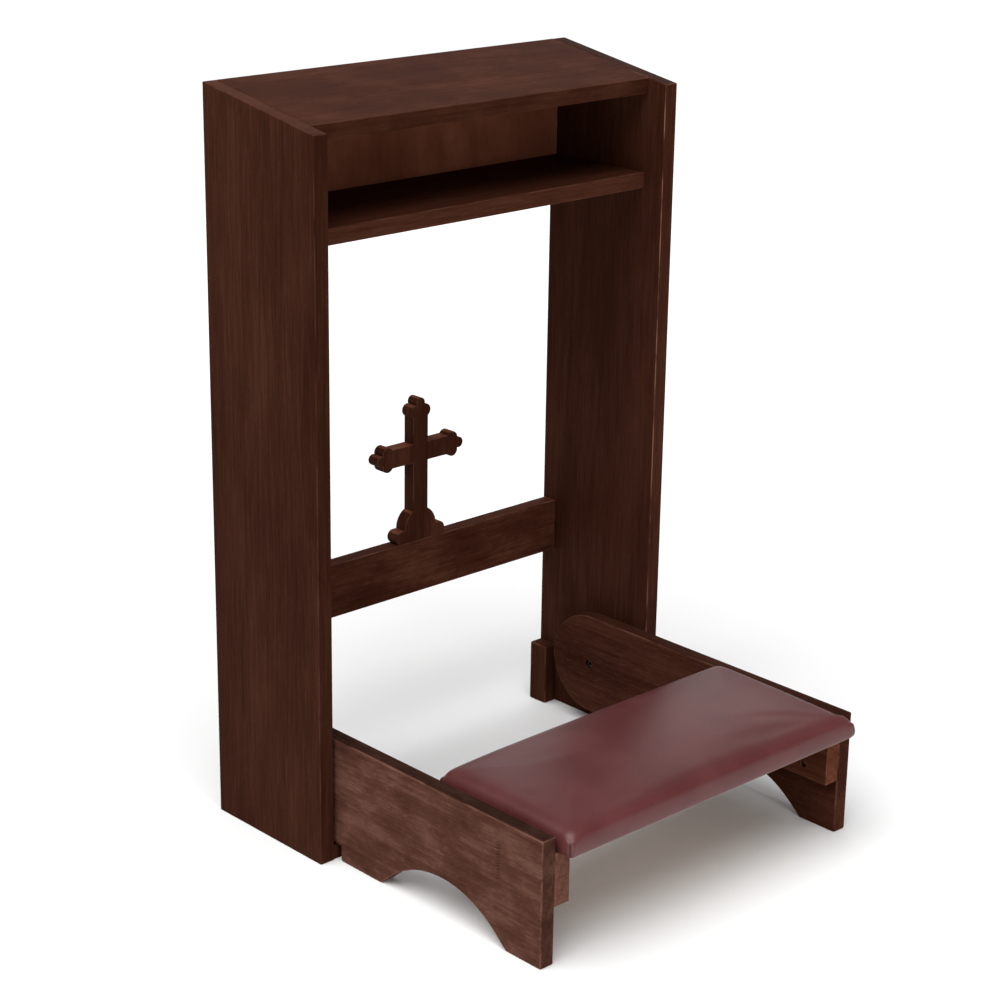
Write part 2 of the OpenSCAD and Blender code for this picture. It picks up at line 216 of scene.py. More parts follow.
paleStain = {
    "dark": (0.032, 0.0108, 0.0068),
    "middle": (0.067, 0.0275, 0.0186),
    "light": (0.128, 0.060, 0.044),
}


def grainSpace(finish, grain, start):
    # object coordinates turned so that the grain runs along Z, and moved to a part of the log of its own
    turns = {"X": (0, math.pi / 2, 0), "Y": (math.pi / 2, 0, 0), "Z": (0, 0, 0)}
    turned = finish.add("ShaderNodeMapping", None, {"Vector": finish.place(), "Rotation": turns[grain]})
    return finish.moved(turned, start)


def stainedWood(settings):
    # what a board's own dictionary doesn't say comes from woodLook
    look = {**woodLook, **settings}
    finish = Finish(look["name"] + "Stain")
    start, pith, tone = look["start"], look["pith"], look["tone"]
    log = grainSpace(finish, look["grain"], start)

    def drawn(across, along, detail, roughness=0.5):
        return finish.noise(finish.scaled(log, (across, across, along)), detail=detail, roughness=roughness)

    def toned(colour, share=1.0):
        return tuple(c * tone * share for c in look[colour])

    waver = finish.noise(finish.scaled(log, look["waver"]), detail=3.0)
    x, y, z = finish.parts(log)
    fromPith = ((x - start[0] - pith[0]).power(2.0) + (y - start[1] - pith[1]).power(2.0)).power(0.5)
    ring = ((fromPith + waver * look["waverReach"]) / look["ringPitch"]).frac()
    late, end = look["ringSpan"]
    lateWood = ring.over(late, end) * (1 - ring.over(end, 1.0))
    streak = drawn(look["streakAcross"], look["streakAlong"], 4.0, 0.6)
    fine = drawn(look["fineAcross"], look["fineAlong"], 2.0)
    pore = drawn(look["poreAcross"], look["poreAlong"], 1.0).over(0.66, 0.76)
    blotch = drawn(look["blotch"], look["blotch"] * look["blotchDrawn"], 4.0, 0.6)
    flecks = drawn(look["fleckAcross"], look["fleckAlong"], 2.0, 0.65).over(0.5, 0.72)
    depth = (streak.over(0.25, 0.75) * look["streakWeight"]
             + fine.over(0.3, 0.7) * look["fineWeight"]
             + blotch.over(0.25, 0.75) * look["mottle"]
             + flecks * look["fleck"]
             - lateWood * look["ringWeight"]
             - pore * look["poreWeight"]
             + (look["plainDepth"] - look["mottle"] * 0.5)).held()
    stain = finish.add("ShaderNodeValToRGB", {"stops": [
        (0.0, toned("dark")), (0.5, toned("middle")), (1.0, toned("light"))]}, {0: depth})
    height = streak * 0.35 + fine * 0.35 - pore * 0.8
    joint = look.get("joint")
    if joint:
        # short fingers where two lengths of board are glued end to end
        px, py, pz = finish.parts(finish.place())
        zigzag = ((pz / joint["pitch"]).frac() - 0.5).size() * joint["reach"] * 2
        across = py - joint["y"] - zigzag
        reach = 1 - (pz - joint["z"]).size().over(joint["half"], joint["half"] + 0.002)
        line = (1 - across.size().over(*joint["line"])) * reach
        before = (1 - across.over(-0.0006, 0.0006)) * across.over(*joint["before"]) * reach
        stain = finish.mix(before * 0.5, stain, toned("middle", 0.85))
        stain = finish.mix(line * 0.85, stain, toned("dark"))
        height = height - line * 0.6
    # painted light and shade: the stain is scaled by the shade mark, which makes faces that look forward and
    # faces that look up lighter on some boards and darker on others, as the light falls on them
    stain = finish.scaled(stain, finish.mark("shade"))
    # the worn colour on the rounded edges, in patches: partly wear and partly a painted highlight along the
    # arrises
    patches = finish.noise(finish.scaled(log, look["rubAndHighlightScale"]), detail=3.0).over(0.38, 0.62)
    rubAndHighlight = (finish.mark("worn") * patches * look["rubAndHighlightMost"]).held()
    stain = finish.mix(rubAndHighlight, stain, toned("worn"))
    sheen = look["roughness"] + blotch * 0.12 + pore * 0.12
    return finish.done(stain, sheen, height, look["relief"], **{"Specular IOR Level": look["gloss"]})


rawWoodLook = {
    "along": 40.0,
    "across": 400.0,
    "plyPair": 0.0034,        # two plies, which turn across each other
}


def plainWood(name, light, dark, layers=False):
    look = rawWoodLook
    along, across = look["along"], look["across"]
    finish = Finish(name)
    place = finish.place()
    x, y, z = finish.parts(place)
    grain = finish.noise(finish.scaled(place, (along, across, across)), detail=3.0)
    shade = grain.over(0.3, 0.7)
    if layers:
        cross = finish.noise(finish.scaled(place, (across, along, across)), detail=3.0)
        ply = (z / look["plyPair"]).frac().over(0.48, 0.52)
        shade = shade * ply + cross.over(0.3, 0.7) * (1 - ply) * 0.8 + ply * 0.15
    colour = finish.mix(shade, dark, light)
    return finish.done(colour, 0.62 + grain * 0.15, grain, (0.3, 0.0002))


metalLook = {"cloud": 420.0, "scratch": (900.0, 5200.0, 2400.0)}


def metal(name, tone, spot, roughness):
    look = metalLook
    finish = Finish(name)
    place = finish.place()
    cloud = finish.noise(place, scale=look["cloud"], detail=3.0)
    scratch = finish.noise(finish.scaled(place, look["scratch"]), detail=1.0)
    colour = finish.mix(cloud.over(0.42, 0.66), tone, spot)
    return finish.done(colour, roughness + cloud * 0.18 + scratch.over(0.55, 0.7) * 0.08, scratch,
                       (0.12, 0.0001), Metallic=1.0)


def nylonFinish(name):
    finish = Finish(name)
    grit = finish.noise(finish.place(), scale=2600.0, detail=2.0)
    colour = finish.mix(grit.over(0.35, 0.65), (0.010, 0.010, 0.011), (0.022, 0.022, 0.023))
    return finish.done(colour, 0.5 + grit * 0.15, grit, (0.25, 0.0001))


def foamFinish(name):
    finish = Finish(name)
    cells = finish.add("ShaderNodeTexVoronoi", None, {"Vector": finish.place(), "Scale": 1300.0})
    colour = finish.mix(cells.over(0.1, 0.6), (0.42, 0.36, 0.22), (0.70, 0.63, 0.44))
    return finish.done(colour, 0.9, cells, (0.6, 0.0005))


leatherLook = {
    "base": (0.085, 0.0175, 0.0172),
    "deep": (0.060, 0.0125, 0.0130),
    "pale": (0.112, 0.0285, 0.0280),
    "roughness": 0.35,
    "gloss": 0.37,
    "pebble": 900.0,
    "dust": 2200.0,
    "cloud": 16.0,
}


def leatherFinish(name):
    finish = Finish(name)
    look = leatherLook
    place = finish.place()
    pebble = finish.add("ShaderNodeTexVoronoi", {"feature": "SMOOTH_F1"},
                        {"Vector": place, "Scale": look["pebble"], "Smoothness": 0.6})
    dust = finish.noise(place, scale=look["dust"], detail=2.0)
    cloud = finish.noise(place, scale=look["cloud"], detail=3.0)
    crease = finish.mark("seam")
    colour = finish.mix(cloud.over(0.3, 0.7), look["base"], look["pale"])
    colour = finish.mix((pebble.over(0.25, 0.7) * 0.22 + dust * 0.1).held(), colour, look["deep"])
    # painted shade: the colour is darkened along the folds at the corners
    colour = finish.mix((crease * 0.75).held(), colour, tuple(c * 0.45 for c in look["deep"]))
    sheen = look["roughness"] + cloud * 0.08 + pebble * 0.06 + crease * 0.2
    return finish.done(colour, sheen, 1 - pebble + dust * 0.15, (0.16, 0.0003), **{
        "Specular IOR Level": look["gloss"], "Coat Weight": 0.05, "Coat Roughness": 0.3})


def placed(name, data):
    piece = bpy.data.objects.new(name, data)
    bpy.context.scene.collection.objects.link(piece)
    return piece


def meshObject(name, mesh, material, body, nodes):
    mesh.materials.clear()
    mesh.materials.append(material)
    piece = placed(name, mesh)
    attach(piece, body)
    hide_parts(*nodes)


def crisp(bm, degrees):
    # curved runs shade smoothly and every turn above this angle stays sharp
    for face in bm.faces:
        face.smooth = True
    for edge in bm.edges:
        edge.smooth = len(edge.link_faces) == 2 and edge.calc_face_angle(0) < math.radians(degrees)


edgeLook = {
    "weld": 0.00001,          # corners of the CAD mesh nearer than this are one
    "flatTurn": 0.6,          # degrees that count as one flat face
    "sharpTurn": 25.0,
    "rimSpread": 0.026,       # sharp rings no wider than this are the rims of bores
    "ease": 0.0011,
    "cornerNear": 0.0015,
    "smoothTurn": 16.0,
}


def weldedCopy(node):
    bm = bmesh.new()
    bm.from_mesh(frame["nodes"][node].data)
    bmesh.ops.remove_doubles(bm, verts=bm.verts, dist=edgeLook["weld"])
    return bm


def outerRuns(bm):
    # sharp edges, without the rims of bores
    sharp = math.radians(edgeLook["sharpTurn"])
    left = {e for e in bm.edges if len(e.link_faces) == 2 and e.calc_face_angle(0) > sharp}
    kept = []
    while left:
        run, reach = [], [left.pop()]
        while reach:
            edge = reach.pop()
            run.append(edge)
            for vert in edge.verts:
                for other in vert.link_edges:
                    if other in left:
                        left.discard(other)
                        reach.append(other)
        corners = [v.co for e in run for v in e.verts]
        spread = max(max(c[i] for c in corners) - min(c[i] for c in corners) for i in range(3))
        if spread > edgeLook["rimSpread"]:
            kept.extend(run)
    return kept


def easedBoard(node, settings):
    # the CAD board with its outer edges rounded, and two marks for its colour: wear with a painted highlight
    # on the rounded edges, and painted light and shade on the faces that look forward and up
    look = {**edgeLook, **settings}
    bm = weldedCopy(node)
    bmesh.ops.dissolve_limit(bm, angle_limit=math.radians(look["flatTurn"]), verts=bm.verts, edges=bm.edges)
    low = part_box(node)[0]
    # both layers come before the bevel, because a new layer drops the list of what it made
    worn, shade = bm.verts.layers.float.new("worn"), bm.loops.layers.float.new("shade")
    runs = [e for e in outerRuns(bm) if e.is_convex]
    made = bmesh.ops.bevel(bm, geom=runs, offset=look["ease"], offset_type="OFFSET",
                           segments=2, profile=0.5, affect="EDGES", clamp_overlap=True)
    rounded = set(made["faces"])
    # wear and painted highlight on the rounded edges; the arris at the board's lowest x and y can take a
    # stronger painted highlight
    for vert in made["verts"]:
        if all(f in rounded for f in vert.link_faces):
            corner = max(abs(vert.co.x - low.x), abs(vert.co.y - low.y)) < look["cornerNear"]
            vert[worn] = look.get("cornerArrisHighlight", look["wearAndHighlight"]) if corner else look["wearAndHighlight"]
    bmesh.ops.triangulate(bm, faces=[f for f in bm.faces if len(f.verts) > 4])
    # painted light and shade: faces that look forward take the board's front value and faces that look up
    # its top value, lighter on some boards and darker on others, as the light falls on them
    for face in bm.faces:
        tone = look.get("front", 1.0) if face.normal.y < -0.8 else 1.0
        if face.normal.z > 0.8:
            tone = look.get("top", 1.0)
        for loop in face.loops:
            loop[shade] = tone
    crisp(bm, look["smoothTurn"])
    mesh = bpy.data.meshes.new(look["name"])
    bm.to_mesh(mesh)
    bm.free()
    meshObject(look["name"], mesh, stainedWood(settings), look["body"], [node])


# front and top are painted light and shade: how much lighter or darker the faces that look forward and up
# are made. The edge wear value also paints a highlight on the rounded edges, and the corner value paints a
# stronger highlight on one arris.
boards = {
    "side_panel_left": {
        "name": "sidePanelLeft", "body": "frame", "slot": "stained_wood", "grain": "Z",
        "start": (1.3, 0.2, 0.4), "pith": (0.5, 0.1), "wearAndHighlight": 0.25, "mottle": 0.42, "blotch": 12.0,
        "front": 0.85, "top": 1.55},
    "side_panel_right": {
        "name": "sidePanelRight", "body": "frame", "slot": "stained_wood", "grain": "Z",
        "start": (2.9, 0.7, 1.1), "pith": (-0.4, 0.06), "wearAndHighlight": 0.25, "cornerArrisHighlight": 1.5, "mottle": 0.5,
        "blotch": 12.0, "front": 1.05, "top": 0.85},
    "book_rest": {
        "name": "bookRest", "body": "frame", "slot": "stained_wood", "grain": "X", "start": (0.6, 3.2, 0.3),
        "pith": (0.2, 0.3), "tone": 1.5, "mottle": 0.45, "blotch": 26.0, "blotchDrawn": 0.5,
        "streakWeight": 0.12, "gloss": 0.004, "wearAndHighlight": 0.15, "ease": 0.0008, "front": 0.66},
    "shelf": {
        "name": "shelfBoard", "body": "frame", "slot": "inner_wood", "grain": "X", "start": (4.1, 1.2, 0.8),
        "pith": (0.3, 0.2), "tone": 1.3, "wearAndHighlight": 0.25, "front": 0.9, "top": 1.0},
    "back_board": {
        "name": "backBoard", "body": "frame", "slot": "inner_wood", "grain": "Z", "start": (2.2, 2.4, 2.0),
        "pith": (0.2, -0.3), "tone": 2.8, "mottle": 0.4, "blotchDrawn": 0.6, "streakAcross": 45.0,
        "streakAlong": 4.0, "streakWeight": 0.14, "fineWeight": 0.08, "ringWeight": 0.03, "fleck": 0.04,
        "wearAndHighlight": 0.2},
    "cross_rail": {
        "name": "crossRail", "body": "frame", "slot": "stained_wood", "grain": "X",
        "start": (5.0, 0.4, 1.7), "pith": (0.25, 0.2), "tone": 1.35, "wearAndHighlight": 0.6, "mottle": 0.7,
        "blotch": 22.0, "blotchDrawn": 0.5, "fleck": 0.2, "top": 1.2},
    "cross": {
        "name": "carvedCross", "body": "frame", "slot": "stained_wood", "grain": "Z",
        "start": (3.4, 2.1, 0.9), "tone": 1.1, "mottle": 0.5, "blotch": 30.0, "ease": 0.0009, "wearAndHighlight": 0.7,
        "top": 3.0},
    "toe_rail": {
        "name": "toeRail", "body": "frame", "slot": "stained_wood", "grain": "X", "start": (1.9, 5.2, 0.1),
        "tone": 0.9, "wearAndHighlight": 0.3},
    "rear_block_left": {
        "name": "rearBlockLeft", "body": "frame", "slot": "stained_wood", "grain": "Z",
        "start": (6.2, 1.0, 2.3), "wearAndHighlight": 0.7},
    "rear_block_right": {
        "name": "rearBlockRight", "body": "frame", "slot": "stained_wood", "grain": "Z",
        "start": (6.9, 2.2, 0.5), "wearAndHighlight": 0.7, "ease": 0.0018},
    "kneeler_arm_left": {
        "name": "kneelerArmLeft", "body": "kneeler", "slot": "stained_wood", "grain": "Y",
        "start": (0.3, 6.1, 1.5), "pith": (0.3, 0.2), "tone": 1.3, "mottle": 0.55, "blotch": 40.0,
        "blotchDrawn": 0.5, "wearAndHighlight": 0.45, "ease": 0.0018, **paleStain, "fleck": 0.2, "streakWeight": 0.18,
        "fineWeight": 0.14, "front": 0.6, "top": 0.36,
        "joint": {"y": -0.1765, "z": 0.0955, "half": 0.0195, "pitch": 0.0033, "reach": 0.0060,
                  "line": (0.0007, 0.0020), "before": (-0.026, -0.004)}},
    "kneeler_arm_right": {
        "name": "kneelerArmRight", "body": "kneeler", "slot": "stained_wood", "grain": "Y",
        "start": (0.9, 7.4, 0.2), "pith": (-0.3, 0.2), "tone": 1.15, "mottle": 0.7, "wearAndHighlight": 0.4,
        "ease": 0.0018, "fleck": 0.3, "top": 0.65},
    "cleat_left": {
        "name": "cleatLeft", "body": "kneeler", "slot": "stained_wood", "grain": "Y",
        "start": (7.1, 0.5, 2.7), "tone": 1.5, "wearAndHighlight": 0.4, **paleStain, "fleck": 0.3},
    "cleat_right": {
        "name": "cleatRight", "body": "kneeler", "slot": "stained_wood", "grain": "Y",
        "start": (7.8, 1.9, 1.2), "tone": 1.6, "wearAndHighlight": 0.4, "front": 1.45},
}

for node, settings in boards.items():
    easedBoard(node, settings)
print("boards:", len(boards), "with eased edges")


padLook = {
    "step": 0.0060,           # spacing of the leather's mesh before it is simulated
    "edgeSteps": (0.0, 0.0013, 0.0030, 0.0053, 0.0083, 0.012, 0.0165, 0.022, 0.028),
    "pressure": 4.0,
    "mass": 0.4,
    "bending": 0.6,
    "frames": 20,
    "swell": 0.18,            # share of the free swell that the foam lets through
    "cap": 0.006,
    "edgeHeight": 0.0182,     # straight part of the edge, above the underside
    "shoulder": 0.021,        # width of the rounded shoulder
    "shoulderRise": 0.0098,
    "backLift": (0.0030, 0.0046),     # left, right
    "crown": 0.0025,
    "frontPull": (0.0030, 0.0024),    # how far the corners are drawn down, left and right
    "backPull": (0.0040, 0.0010),
    "cornerReach": 0.045,
    "cornerRadius": 0.0034,
    "underRadius": 0.0030,
    "tuckIn": 0.0016,         # how far the wall leans in before it swells
    "hem": 0.028,
    "flare": (0.0012, 0.0066),        # how far the front corners spread, left and right
    "flareRamp": 0.005,
    "flareReach": 0.03,
    "spread": 0.0012,         # most that the sides pass the cover's box
    "thickness": 0.0012,
    "fill": 0.7,
}
foldLook = {
    "top": 0.0185,            # height above the underside where the corner's fold ends
    "fadeTop": 0.005,
    "fadeFoot": 0.0015,
    "inset": 0.003,
    "shift": 0.0022,          # the fold lies beside the corner, not on it
    "reach": 0.014,
    "width": 0.0011,
    "depth": 0.0012,
    "lapShift": 0.0038,
    "lapWidth": 0.0045,
    "lapRise": 0.0007,
}
padLow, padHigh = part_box("pad_cover")
padMid = (padLow + padHigh) / 2
padHalf = (padHigh - padLow) / 2


def padLines(half):
    # grid lines, close together over the rounded edge and even in the middle
    look = padLook
    edge = [half - step for step in look["edgeSteps"]]
    middle = edge[-1]
    count = round(middle / look["step"])
    right = [middle * i / count for i in range(count)] + edge[::-1]
    return [-x for x in right[:0:-1]] + right


def roundCorner(x, y, halfX, halfY, radius):
    # the square corner of the grid drawn in to a quarter circle
    a, b = (abs(x) - halfX + radius) / radius, (abs(y) - halfY + radius) / radius
    if a <= 0 or b <= 0:
        return x, y
    qx = halfX - radius + radius * a * math.sqrt(1 - b * b / 2)
    qy = halfY - radius + radius * b * math.sqrt(1 - a * a / 2)
    return math.copysign(qx, x), math.copysign(qy, y)


def padRise(x, y, halfX, halfY):
    # height of the top above the underside
    look = padLook
    inX, inY = max(0.0, halfX - abs(x)), max(0.0, halfY - abs(y))
    near = [1 - min(1.0, gap / look["shoulder"]) for gap in (inX, inY)]
    inward = min(1.0, (near[0] ** 4 + near[1] ** 4) ** 0.25)
    crown = (1 - (x / halfX) ** 2) * (1 - (y / halfY) ** 2)
    pull = math.exp(-(inX + inY) / look["cornerReach"])
    toBack, toRight = 0.5 + 0.5 * y / halfY, 0.5 + 0.5 * x / halfX
    lift, drop = (pair[0] * (1 - toRight) + pair[1] * toRight for pair in (
        look["backLift"],
        [front * (1 - toBack) + back * toBack for front, back in zip(look["frontPull"], look["backPull"])]))
    return (look["edgeHeight"] + look["shoulderRise"] * math.sqrt(1 - inward ** 2)
            + look["crown"] * crown + lift * toBack - drop * pull)


def padForm(name, inset, low, under):
    # closed form: two grids, for the top and the underside, with a wall between them
    look = padLook
    halfX, halfY = padHalf.x - inset, padHalf.y - inset
    radius = look["cornerRadius"] - inset * 0.5
    xs, ys = padLines(halfX), padLines(halfY)
    bm = bmesh.new()

    def sheet(step, height):
        made = {}
        for i, gx in enumerate(xs):
            for j, gy in enumerate(ys):
                x, y = roundCorner(gx, gy, halfX, halfY, radius)
                z = height(x, y)
                x, y = x * (1 - step / halfX), y * (1 - step / halfY)
                made[i, j] = bm.verts.new((padMid.x + x, padMid.y + y, z))
        return made

    def topOf(x, y):
        return padLow.z + padRise(x, y, halfX, halfY) - inset

    bottom = sheet(under, lambda x, y: low)
    top = sheet(look["tuckIn"], topOf)
    right, back = len(xs) - 1, len(ys) - 1
    for sheetOf, way in ((bottom, -1), (top, 1)):
        for i in range(right):
            for j in range(back):
                bm.faces.new([sheetOf[k] for k in ((i, j), (i + 1, j), (i + 1, j + 1), (i, j + 1))][::way])
    around = ([(i, 0) for i in range(right)] + [(right, j) for j in range(back)]
              + [(i, back) for i in range(right, 0, -1)] + [(0, j) for j in range(back, 0, -1)])
    rows = [[bottom[k] for k in around]]
    # share: how far up the wall a row is; step: how far in
    for share, step in ((0.0, under * 0.3), (0.1, 0.0), (0.4, 0.0), (0.72, look["tuckIn"] * 0.4)):
        row = []
        for i, j in around:
            x, y = roundCorner(xs[i], ys[j], halfX, halfY, radius)
            foot = low + (under * 0.35 if share == 0.0 else under)
            z = foot + (topOf(x, y) - foot) * share
            x, y = x * (1 - step / halfX), y * (1 - step / halfY)
            row.append(bm.verts.new((padMid.x + x, padMid.y + y, z)))
        rows.append(row)
    rows.append([top[k] for k in around])
    for below, above in zip(rows, rows[1:]):
        for i in range(len(around)):
            j = (i + 1) % len(around)
            bm.faces.new((below[i], below[j], above[j], above[i]))
    bmesh.ops.recalc_face_normals(bm, faces=bm.faces)
    mesh = bpy.data.meshes.new(name)
    bm.to_mesh(mesh)
    bm.free()
    return mesh


def applied(piece):
    # the evaluated mesh, with every modifier taken off
    graph = bpy.context.evaluated_depsgraph_get()
    mesh = bpy.data.meshes.new_from_object(piece.evaluated_get(graph))
    piece.modifiers.clear()
    piece.data = mesh
    return mesh


def places(mesh):
    flat = np.zeros(len(mesh.vertices) * 3)
    mesh.vertices.foreach_get("co", flat)
    return flat.reshape(-1, 3)


def swollenPad():
    look = padLook
    bareForm = padForm("padStart", 0.0, padLow.z, look["underRadius"])
    pad = placed("padCover", bareForm)
    rest = places(pad.data)
    pins = pad.vertex_groups.new(name="held")
    held = padLow.z + look["underRadius"] + 0.0005
    pins.add([i for i, p in enumerate(rest) if p[2] < held], 1.0, "REPLACE")
    cloth = pad.modifiers.new("leather", "CLOTH")
    cloth.settings.use_pressure = True
    cloth.settings.uniform_pressure_force = look["pressure"]
    cloth.settings.effector_weights.gravity = 0.0
    cloth.settings.vertex_group_mass = "held"
    cloth.settings.quality = 6
    cloth.settings.mass = look["mass"]
    cloth.settings.bending_stiffness = look["bending"]
    cloth.point_cache.frame_start = 1
    cloth.point_cache.frame_end = look["frames"]
    for step in range(1, look["frames"] + 1):
        bpy.context.scene.frame_set(step)
    mesh = applied(pad)
    bpy.context.scene.frame_set(1)
    pad.vertex_groups.clear()
    move = places(mesh) - rest
    # the leather is backed by foam, so it moves outwards only, by a share of what it would do free
    out = np.array([vert.normal for vert in bareForm.vertices], float)
    outward = np.maximum(0.0, (move * out).sum(axis=1, keepdims=True))
    kept = np.minimum(outward * look["swell"], look["cap"])
    free, used = (round(float(step.max()) * 1000, 1) for step in (outward, kept))
    print("pad swells by", free, "mm free, and", used, "mm is kept")
    mesh.vertices.foreach_set("co", (rest + out * kept).ravel())
    return pad


def finishPad(pad):
    look = padLook
    finer = pad.modifiers.new("finer", "SUBSURF")
    finer.levels = finer.render_levels = 1
    mesh = applied(pad)
    co = places(mesh)
    # beside the arms the pad keeps to its gap, and in front of them its corners spread a little
    ahead = np.clip((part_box("kneeler_arm_left")[0].y - co[:, 1]) / look["flareRamp"], 0, 1)
    flare = np.where(co[:, 0] < 0, look["flare"][0], look["flare"][1]) * ahead
    spread = look["spread"] + flare
    atSide = np.clip(1 - (padHalf.x - np.abs(co[:, 0])) / look["flareReach"], 0, 1)
    co[:, 0] += np.sign(co[:, 0]) * flare * atSide
    co[:, 0] = np.clip(co[:, 0], padLow.x - spread, padHigh.x + spread)
    # the leather is folded over itself at the four corners
    fold = foldLook
    seam = np.zeros(len(co))
    height = co[:, 2] - padLow.z
    fade = np.clip((fold["top"] - height) / fold["fadeTop"], 0, 1) * np.clip(height / fold["fadeFoot"], 0, 1)
    for sx in (-1, 1):
        for sy in (-1, 1):
            turn = sx * sy
            corner = np.array([padMid.x + sx * (padHalf.x - fold["inset"]),
                               padMid.y + sy * (padHalf.y - fold["inset"])])
            rel = co[:, :2] - corner
            side = rel @ np.array([sy, -sx]) / math.sqrt(2) - fold["shift"] * turn
            near = (np.linalg.norm(rel, axis=1) < fold["reach"]) * fade
            inward = np.array([-sx, -sy]) / math.sqrt(2)
            groove = np.exp(-(side / fold["width"]) ** 2) * near
            lap = np.clip(1 - np.abs(side + fold["lapShift"] * turn) / fold["lapWidth"], 0, 1) * near
            seam = np.maximum(seam, groove)
            co[:, :2] += (groove * fold["depth"] - lap * fold["lapRise"])[:, None] * inward
    mesh.vertices.foreach_set("co", co.ravel())
    # the folds' mask, which the leather also uses to paint shade into them
    layer = mesh.attributes.new("seam", "FLOAT", "POINT")
    layer.data.foreach_set("value", seam.astype(np.float32))
    mesh.update()
    # the underside is open inside the hem
    bm = bmesh.new()
    bm.from_mesh(mesh)
    gone = []
    for face in bm.faces:
        middle = face.calc_center_median() - padMid
        insideHem = abs(middle.x) < padHalf.x - look["hem"] and abs(middle.y) < padHalf.y - look["hem"]
        if insideHem and middle.z < 0.001 - padHalf.z:
            gone.append(face)
    bmesh.ops.delete(bm, geom=gone, context="FACES")
    for face in bm.faces:
        face.smooth = True
    bm.to_mesh(mesh)
    bm.free()
    shell = pad.modifiers.new("thickness", "SOLIDIFY")
    shell.thickness = look["thickness"]
    shell.offset = -1
    applied(pad)
    pad.data.materials.clear()
    pad.data.materials.append(leatherFinish("oxbloodLeather"))
    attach(pad, "kneeler")
    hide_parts("pad_cover")


pad = swollenPad()
finishPad(pad)
foamLook = {"inset": 0.0030, "underRadius": 0.0005}
foamMesh = padForm("padFoam", foamLook["inset"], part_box("pad_board")[1].z, foamLook["underRadius"])
for polygon in foamMesh.polygons:
    polygon.use_smooth = True
meshObject("padFoam", foamMesh, foamFinish("foamCells"), "kneeler", ["pad_foam"])
print("pad:", len(pad.data.polygons), "faces")


class Recipe:
    # one Geometry Nodes tree
    def __init__(self, name, sizes):
        self.tree = bpy.data.node_groups.new(name, "GeometryNodeTree")
        self.tree.interface.new_socket("Geometry", in_out="INPUT", socket_type="NodeSocketGeometry")
        self.ids = {}
        for label, kind in sizes.items():
            made = self.tree.interface.new_socket(label, in_out="INPUT", socket_type=kind)
            self.ids[label] = made.identifier
        self.tree.interface.new_socket("Geometry", in_out="OUTPUT", socket_type="NodeSocketGeometry")
        self.inputs = self.tree.nodes.new("NodeGroupInput")

    def size(self, label):
        return self.inputs.outputs[label]

    def add(self, kind, settings=None, values=None, out=0):
        node = self.tree.nodes.new(kind)
        for key, value in (settings or {}).items():
            setattr(node, key, value)
        for key, value in (values or {}).items():
            if isinstance(value, list):
                for one in reversed(value):
                    self.tree.links.new(one, node.inputs[key])
            elif isinstance(value, bpy.types.NodeSocket):
                self.tree.links.new(value, node.inputs[key])
            else:
                node.inputs[key].default_value = value
        return node.outputs[out]

    def math(self, operation, first, second):
        return self.add("ShaderNodeMath", {"operation": operation}, {0: first, 1: second})

    def vector(self, x=0.0, y=0.0, z=0.0):
        return self.add("ShaderNodeCombineXYZ", None, {0: x, 1: y, 2: z})

    def finish(self, geometry):
        real = self.add("GeometryNodeRealizeInstances", None, {0: geometry})
        painted = self.add("GeometryNodeSetMaterial", None, {0: real, "Material": self.size("Material")})
        output = self.tree.nodes.new("NodeGroupOutput")
        self.tree.links.new(painted, output.inputs[0])


def laidOut(name, spots, recipe, values, body, nodes):
    # spots: (place, direction) of each head; one mesh comes out
    base = bpy.data.meshes.new(name + "Spots")
    base.from_pydata([tuple(p) for p, d in spots], [], [])
    facing = base.attributes.new("facing", "FLOAT_VECTOR", "POINT")
    facing.data.foreach_set("vector", [c for p, d in spots for c in d])
    piece = placed(name, base)
    modifier = piece.modifiers.new(name, "NODES")
    modifier.node_group = recipe.tree
    for label, value in values.items():
        modifier[recipe.ids[label]] = value
    bpy.context.view_layer.update()
    mesh = applied(piece)
    bpy.data.objects.remove(piece)
    bm = bmesh.new()
    bm.from_mesh(mesh)
    bmesh.ops.remove_doubles(bm, verts=bm.verts, dist=0.000005)
    bmesh.ops.recalc_face_normals(bm, faces=bm.faces)
    crisp(bm, 32)
    bm.to_mesh(mesh)
    bm.free()
    meshObject(name, mesh, values["Material"], body, nodes)


def instanced(recipe, shape):
    # the shape on every spot, its +Z turned to the spot's facing
    facing = recipe.add("GeometryNodeInputNamedAttribute", {"data_type": "FLOAT_VECTOR"}, {"Name": "facing"})
    turn = recipe.add("FunctionNodeAlignRotationToVector", {"axis": "Z"}, {"Vector": facing})
    return recipe.add("GeometryNodeInstanceOnPoints", None, {
        "Points": recipe.inputs.outputs["Geometry"], "Instance": shape, "Rotation": turn})


headSizes = {"Head": "NodeSocketFloat", "Head height": "NodeSocketFloat", "Shank": "NodeSocketFloat",
             "Length": "NodeSocketFloat", "Material": "NodeSocketMaterial"}


def lowered(r, shape, share):
    # moved down by a share of the head's height
    step = r.vector(z=r.math("MULTIPLY", r.size("Head height"), -share))
    return r.add("GeometryNodeTransform", None, {"Geometry": shape, "Translation": step})


def shankOf(r, sides):
    # plain round shank that starts under the head
    shank = r.add("GeometryNodeMeshCylinder", None, {
        "Vertices": sides, "Radius": r.size("Shank"), "Depth": r.size("Length")})
    down = r.math("SUBTRACT", r.math("MULTIPLY", r.size("Length"), -0.5), r.size("Head height"))
    return r.add("GeometryNodeTransform", None, {"Geometry": shank, "Translation": r.vector(z=down)})


def headedBy(r, pieces):
    r.finish(instanced(r, r.add("GeometryNodeJoinGeometry", None, {0: pieces})))


